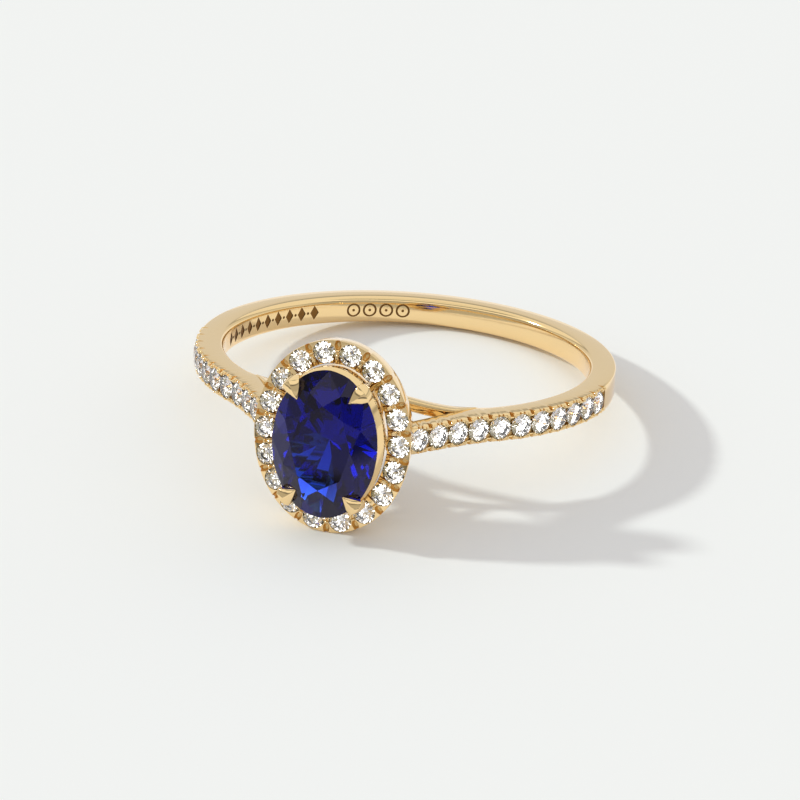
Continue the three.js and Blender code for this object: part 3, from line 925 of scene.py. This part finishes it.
class RING_OT_shank(bpy.types.Operator):
    """The band with its shoulders, stone seats, beads and inner engraving"""

    bl_idname = "ring.shank"
    bl_label = "Shank"

    def execute(self, context):
        details = context.scene.ring_details
        full = BAND_RADIUS - FINGER_RADIUS
        shank = swept_section(full, BAND_HALF_WIDTH * 2)

        def shoulder(co):
            """Arch the inside for comfort, square it off on the arms, and sweep the arms up."""
            angle, depth = math.atan2(co.x, -co.y), math.hypot(co.x, co.y) - FINGER_RADIUS
            height = co.z
            if depth < COMFORT_ROUNDING + 1e-4:
                depth += COMFORT_ARCH * (height / BAND_HALF_WIDTH) ** 2 * (1 - depth / COMFORT_ROUNDING)
                spare = BAND_HALF_WIDTH - abs(height)
                if spare < COMFORT_ROUNDING + 1e-4:
                    shrink = 1 - COMFORT_LOST_ON_ARMS * share_on_arm(angle)
                    depth *= shrink
                    height = math.copysign(BAND_HALF_WIDTH - spare * shrink, height)
            inner, outer = inner_radius(angle), outer_radius(angle)
            return polar(angle, inner + (outer - inner) * depth / full, height)

        reshape(shank, shoulder)
        work_on(shank)
        edit()
        take_all()
        bpy.ops.mesh.bisect(plane_co=(0, -(HALO_FACE - HALO_DEPTH - FIT), 0), plane_no=(0, -1, 0),
                            use_fill=True, clear_outer=True)
        leave_edit()
        paint("gold_polish", shank)

        angles = shoulder_seats()
        seats = both_sides([shoulder_frame(angle) for angle in angles])
        gap_angles = [(a + b) / 2 for a, b in zip(angles, angles[1:])]
        gap_angles.append(angles[-1] + (angles[-1] - angles[-2]) / 2)
        gaps = both_sides([shoulder_frame(angle) for angle in gap_angles])
        self.cut_seats(shank, seats)
        self.cut_notches(shank, gaps, seats, details)
        self.raise_beads(shank, gaps, seats, details)
        self.engrave(shank)
        finish_metal(shank, BENCH, "shank")
        return {"FINISHED"}

    def cut_seats(self, shank, seats):
        tool = seat_tool(SHOULDER_DIAMOND_RADIUS, SHOULDER_SEAT_DEPTH)
        for place in seats:
            carve(shank, tool, [place])
        scrap(tool)

    def cut_notches(self, shank, gaps, seats, details):
        """Lower the metal between the stones, notch its edges there, and nick the edge at each stone."""
        trench = fresh("trench", bpy.ops.mesh.primitive_cube_add, size=1)
        raised = Vector((0, 0, TRENCH_HEIGHT))
        reshape(trench, lambda co: Vector(co * Vector(TRENCH_SIZE)) + raised)
        notch = wedge(details.notch, NOTCH_LENGTH, NOTCH_DEPTH)
        nick = wedge(*NICK_SIZE)
        paint("gold_cut", trench, notch, nick)
        carve(shank, trench, gaps)
        for side in (-1, 1):
            carve(shank, notch, moved(gaps, (side * BAND_HALF_WIDTH, 0, 0)))
        for along in (-1, 1):
            for side in (-1, 1):
                carve(shank, nick, moved(seats, NICK_PLACE, side, along))
        scrap(trench, notch, nick)

    def raise_beads(self, shank, gaps, seats, details):
        bead = ball(details.bead)
        small = ball(details.bead * SMALL_BEAD_SHARE)
        paint("gold_polish", bead, small)
        for side in (-1, 1):
            for along in (-1, 1):
                carve(shank, bead, moved(gaps, BEAD_PLACE, side, along), "UNION")
            carve(shank, small, moved(seats, SMALL_BEAD_PLACE, side), "UNION")
        scrap(bead, small)

    def engrave(self, shank):
        """A plain ornament inside the band: a row of lozenges and dots, then a row of blank rings."""
        depth = bpy.context.scene.ring_details.engraving
        lozenge = fresh("lozenge", bpy.ops.mesh.primitive_cylinder_add,
                        vertices=4, radius=1, depth=depth * 2)
        reshape(lozenge, lambda co: Vector((co.x * LOZENGE_HALF[0], co.y * LOZENGE_HALF[1], co.z)))
        dot = fresh("dot", bpy.ops.mesh.primitive_cylinder_add,
                    vertices=12, radius=DOT_RADIUS, depth=depth * 2)
        ring = fresh("ring", bpy.ops.mesh.primitive_torus_add, major_segments=24,
                     minor_segments=6, major_radius=RING_RADIUS, minor_radius=RING_LINE)
        paint("gold_engraved", lozenge, dot, ring)
        lozenges = [FIRST_LOZENGE + ORNAMENT_PITCH * i for i in range(LOZENGES)]
        dots = [angle + ORNAMENT_PITCH / 2 for angle in lozenges[:-1]]
        rings = [FIRST_RING + RING_PITCH * i for i in range(RINGS)]
        for pattern, angles in ((lozenge, lozenges), (dot, dots), (ring, rings), (dot, rings)):
            carve(shank, pattern, [self.inside_at(angle) for angle in angles])
        scrap(lozenge, dot, ring)

    def inside_at(self, angle):
        """Axes at a place inside the band: X up the band, Z towards the finger."""
        here = polar(angle, FINGER_RADIUS)
        inward, up = -here.normalized(), Vector((0, 0, 1))
        return axes_at(here, up, inward.cross(up), inward)


# ---------- bridge


class RING_OT_bridge(bpy.types.Operator):
    """The open, leaf-shaped bar that carries the band on round the finger under the head"""

    bl_idname = "ring.bridge"
    bl_label = "Bridge"

    def execute(self, context):
        bridge = fresh("under_bridge_bar", bpy.ops.mesh.primitive_grid_add,
                       x_subdivisions=144, y_subdivisions=3, size=2)

        def leaf(co):
            x = co.x * BRIDGE_END
            half = bridge_half_width(x)
            inner = max(BRIDGE_LEAST_HALF, half - BRIDGE_RAIL)
            return Vector((x, math.copysign(half if abs(co.y) > 0.9 else inner, co.y), 0))

        reshape(bridge, leaf)
        work_on(bridge)
        edit()
        pick(bridge, "FACE", lambda co: abs(co.y) < 1e-4 and abs(co.x) < BRIDGE_OPENING)
        bpy.ops.mesh.delete(type="FACE")
        leave_edit()
        apply_modifier(bridge, "SOLIDIFY", thickness=BRIDGE_THICKNESS, offset=1)
        apply_modifier(bridge, "BEVEL", width=BRIDGE_ROUNDING, segments=3,
                       limit_method="ANGLE", angle_limit=math.radians(50))

        def wrap(co):
            """Bend the leaf round the finger, thin its tips under the arms and draw them in."""
            angle = math.asin(max(-1.0, min(1.0, co.x / FINGER_RADIUS)))
            room = inner_radius(angle) + BRIDGE_HEADROOM - FINGER_RADIUS
            height = min(1.0, room / BRIDGE_THICKNESS) * co.z
            narrowing = 1 - BRIDGE_TIP_NARROWING * (1 - share_on_arm(angle))
            return polar(angle, FINGER_RADIUS + BRIDGE_LIFT + height, co.y * narrowing)

        reshape(bridge, wrap)
        tidy_skin(bridge, 1e-5)
        finish_metal(bridge, BENCH, "under_bridge")
        return {"FINISHED"}


# ---------- halo and collar


def oval_hoop(name, guide, profile, rounding):
    """A hoop of that profile round a guide oval. Each profile entry is (offset, height)."""
    guide_radius = 10.0
    hoop = fresh(name, bpy.ops.mesh.primitive_circle_add, vertices=len(profile), radius=1,
                 fill_type="NGON", rotation=(math.radians(90), 0, 0), location=(guide_radius, 0, 0))
    bpy.ops.object.transform_apply(location=True, rotation=True)
    for vertex, (offset, height) in zip(hoop.data.vertices, profile):
        vertex.co = (guide_radius + offset, 0, height)
    edit("VERT")
    take_all()
    bpy.ops.mesh.bevel(offset=rounding, segments=3, affect="VERTICES")
    spin_outline(OVAL_STEPS)

    def oval(co):
        turn, offset = math.atan2(co.y, co.x), math.hypot(co.x, co.y) - guide_radius
        return Vector(((guide[0] + offset) * math.cos(turn), (guide[1] + offset) * math.sin(turn), co.z))

    reshape(hoop, oval)
    tidy_skin(hoop)
    return hoop


class RING_OT_halo(bpy.types.Operator):
    """The oval tray that holds the halo's diamonds"""

    bl_idname = "ring.halo"
    bl_label = "Halo"

    def execute(self, context):
        details = context.scene.ring_details
        back = HALO_FACE - HALO_DEPTH
        halo = oval_hoop("halo_tray", HALO_LINE, [
            (HALO_OUTER_WALL - HALO_TAPER, back),
            (HALO_OUTER_WALL, HALO_FACE),
            (-HALO_INNER_WALL, HALO_FACE),
            (-HALO_INNER_WALL, back),
        ], HALO_ROUNDING)
        paint("gold_polish", halo)
        seats = [halo_frame_at(turn) for turn in halo_turns()]
        gaps = [halo_frame_at(turn) for turn in halo_turns(gaps=True)]
        tool = seat_tool(HALO_DIAMOND_RADIUS, HALO_SEAT_DEPTH)
        carve(halo, tool, seats)
        scrap(tool)
        self.cut_almonds(halo, gaps, details)
        self.raise_prongs(halo, gaps)
        finish_metal(halo, HEAD, "halo_frame")
        return {"FINISHED"}

    def cut_almonds(self, halo, gaps, details):
        """Scoop the metal between the stones, and free each prong with a slot on both sides."""
        scoop = ball(1.0, SCOOP_MIDDLE, (SCOOP_LENGTH, details.almond, SCOOP_DEPTH), 10, 6)
        slot = ball(1.0, SLOT_MIDDLE, SLOT_SIZE, 8, 5)
        paint("gold_cut", scoop, slot)
        carve(halo, scoop, gaps)
        for side in (-1, 1):
            carve(halo, slot, moved(gaps, (0, side * SLOT_OFFSET, 0)))
        scrap(scoop, slot)

    def raise_prongs(self, halo, gaps):
        """A bead at the inner end of each scoop, and a long prong inside it except at the claws."""
        bead = ball(1.0, PEARL_MIDDLE, PEARL_SIZE)
        prong = ball(1.0, PRONG_MIDDLE, PRONG_SIZE)
        rim = claw_axes()[0]

        def is_free(place):
            spot = place.translation
            return math.hypot(abs(spot.x) - rim.x, abs(spot.y) - rim.y) > CLAW_CLEARANCE

        paint("gold_polish", bead, prong)
        carve(halo, bead, gaps, "UNION")
        carve(halo, prong, [place for place in gaps if is_free(place)], "UNION")
        scrap(bead, prong)


class RING_OT_collar(bpy.types.Operator):
    """The plain oval collar that the centre stone sits in"""

    bl_idname = "ring.collar"
    bl_label = "Collar"

    def execute(self, context):
        collar = oval_hoop("seat_collar_hoop", COLLAR_HALF, COLLAR_PROFILE, COLLAR_ROUNDING)
        finish_metal(collar, HEAD, "seat_collar")
        return {"FINISHED"}


# ---------- claws


def claw_pattern():
    """One claw, for the quarter of the head where X and Y are positive."""
    rim, out, across = claw_axes()
    foot = Vector((CLAW_FOOT_X, bridge_half_width(CLAW_FOOT_X) - BRIDGE_RAIL / 2, 0))
    shaft = rim - CLAW_SHAFT_INSET * out
    half = CLAW_SHAFT / 2
    # (middle, height, tilt towards the stone in degrees, half width, below, above, ridge)
    rings = [
        (foot, FINGER_RADIUS + 0.3, 0, half, half, half, 0.0),
        (foot, FINGER_RADIUS + BRIDGE_THICKNESS + 0.1, 0, half, half, half, 0.0),
        (shaft, HALO_FACE - HALO_DEPTH, 0, half, half, half, 0.0),
        (shaft, HALO_FACE + 0.1, 0, half, half, half, 0.0),
        (rim + 0.04 * out, CENTRE_GIRDLE - 0.45, 0, 0.3, 0.2, 0.24, 0.0),
        (rim + 0.12 * out, CENTRE_GIRDLE - 0.1, 10, 0.42, 0.14, 0.2, 0.06),
        (rim + 0.05 * out, CENTRE_GIRDLE + 0.24, 45, 0.44, 0.16, 0.2, 0.1),
        (rim - 0.16 * out, CENTRE_GIRDLE + 0.34, 72, 0.34, 0.22, 0.1, 0.12),
        (rim - 0.42 * out, CENTRE_GIRDLE + 0.4, 80, 0.18, 0.16, 0.03, 0.08),
        (rim - 0.66 * out, CENTRE_GIRDLE + 0.44, 85, 0.03, 0.06, 0.0, 0.02),
    ]

    def section(ring):
        middle, height, tilt, width, below, above, ridge = ring
        tilt = math.radians(tilt)
        top = out * math.cos(tilt) + Vector((0, 0, 1)) * math.sin(tilt)
        centre = middle + Vector((0, 0, height))
        corners = [(-width, -below), (width, -below), (width, above * 0.6),
                   (width * 0.6, above + ridge * 0.4), (0, above + ridge),
                   (-width * 0.6, above + ridge * 0.4), (-width, above * 0.6)]
        return [centre + across * s + top * h for s, h in corners]

    first = section(rings[0])
    claw = fresh("claw", bpy.ops.mesh.primitive_circle_add, vertices=len(first), radius=1,
                 fill_type="NGON")
    for vertex, spot in zip(claw.data.vertices, first):
        vertex.co = spot
    edit("VERT")
    take_all()
    last = first
    for ring in rings[1:]:
        spots = section(ring)
        bpy.ops.mesh.extrude_region_move()
        mesh = bmesh.from_edit_mesh(claw.data)
        for vertex in [v for v in mesh.verts if v.select]:
            nearest = min(range(len(last)), key=lambda k: (vertex.co - last[k]).length)
            vertex.co = spots[nearest]
        bmesh.update_edit_mesh(claw.data)
        last = spots
    leave_edit()
    tidy_skin(claw, 1e-5)
    apply_modifier(claw, "BEVEL", width=CLAW_ROUNDING, segments=2, limit_method="ANGLE",
                   angle_limit=math.radians(25))
    return claw


class RING_OT_claws(bpy.types.Operator):
    """The four claws that hold the centre stone"""

    bl_idname = "ring.claws"
    bl_label = "Claws"

    def execute(self, context):
        pattern = claw_pattern()
        for corner, sign_x, sign_y in (("upper_right", 1, 1), ("upper_left", -1, 1),
                                       ("lower_right", 1, -1), ("lower_left", -1, -1)):
            place = Matrix.Diagonal((sign_x, sign_y, 1, 1))
            claw = stamp(pattern, [place], f"claw_{corner}_prong")
            tidy_skin(claw, 1e-5)
            if corner == "upper_left":
                self.turn_head(claw, place @ claw_axes()[0], UPPER_LEFT_CLAW_TURN)
            finish_metal(claw, HEAD, f"claw_{corner}", 30)
        scrap(pattern)
        return {"FINISHED"}

    def turn_head(self, claw, pivot, turn):
        """Point the head of a claw more along the stone, easing the twist in above the halo."""
        start, end = HALO_FACE + 0.3, CENTRE_GIRDLE

        def twist(co):
            share = min(1.0, max(0.0, (co.z - start) / (end - start)))
            arm = Vector((co.x - pivot.x, co.y - pivot.y, 0))
            arm.rotate(Matrix.Rotation(turn * share, 3, "Z"))
            return Vector((pivot.x + arm.x, pivot.y + arm.y, co.z))

        reshape(claw, twist)


class RING_OT_finishes(bpy.types.Operator):
    """The finishes of the metal and the stones"""

    bl_idname = "ring.finishes"
    bl_label = "Finishes"

    def execute(self, context):
        finishes = context.scene.ring_finishes
        polish_group()
        zoning_group()
        gold_finish("gold_polish", finishes.gold, finishes.polish, 0.04)
        gold_finish("gold_engraved", finishes.engraving, ENGRAVED_ROUGHNESS, 0.1)
        gold_finish("gold_cut", finishes.cuts, CUT_ROUGHNESS, 0.1)
        stone_finish("diamond_body", *DIAMOND_TONES, DIAMOND_INDEX)
        deep = finishes.sapphire
        pale = [min(1.0, channel * 1.15) for channel in deep]
        tree = stone_finish("sapphire_body", deep, pale, SAPPHIRE_INDEX, SAPPHIRE_SHEEN)
        body = add(tree, "ShaderNodeVolumeAbsorption",
                   [("Color", SAPPHIRE_DEPTHS), ("Density", finishes.depth)])
        wire(tree, (body, "Volume", tree.nodes["Material Output"], "Volume"))
        return {"FINISHED"}


class RING_PT_panel(bpy.types.Panel):
    """Lists the ring's pieces in the sidebar"""

    bl_idname = "RING_PT_panel"
    bl_label = "Oval Cluster Ring"
    bl_space_type = "VIEW_3D"
    bl_region_type = "UI"
    bl_category = "Ring"

    def draw(self, context):
        for operator in OPERATORS:
            self.layout.operator(operator.bl_idname)
        for group in ("ring_finishes", "ring_details", "ring_studio"):
            settings = getattr(context.scene, group)
            for name in settings.bl_rna.properties.keys():
                if name not in ("rna_type", "name"):
                    self.layout.prop(settings, name)


OPERATORS = (
    RING_OT_stage,
    RING_OT_finishes,
    RING_OT_shank,
    RING_OT_bridge,
    RING_OT_halo,
    RING_OT_collar,
    RING_OT_claws,
    RING_OT_centre_stone,
    RING_OT_halo_diamonds,
    RING_OT_shoulder_diamonds,
)
PROPERTY_GROUPS = {
    "ring_finishes": RingFinishes,
    "ring_details": RingDetails,
    "ring_studio": RingStudio,
}


def register():
    for group in PROPERTY_GROUPS.values():
        bpy.utils.register_class(group)
    for operator in OPERATORS:
        bpy.utils.register_class(operator)
    bpy.utils.register_class(RING_PT_panel)
    for name, group in PROPERTY_GROUPS.items():
        setattr(bpy.types.Scene, name, bpy.props.PointerProperty(type=group))


def unregister():
    for name in PROPERTY_GROUPS:
        delattr(bpy.types.Scene, name)
    bpy.utils.unregister_class(RING_PT_panel)
    for operator in reversed(OPERATORS):
        bpy.utils.unregister_class(operator)
    for group in PROPERTY_GROUPS.values():
        bpy.utils.unregister_class(group)


def main():
    register()
    for operator in OPERATORS:
        make = getattr(bpy.ops.ring, operator.bl_idname.removeprefix("ring."))
        if make() != {"FINISHED"}:
            raise RuntimeError(f"{operator.bl_label} did not finish")


if __name__ == "__main__":
    main()
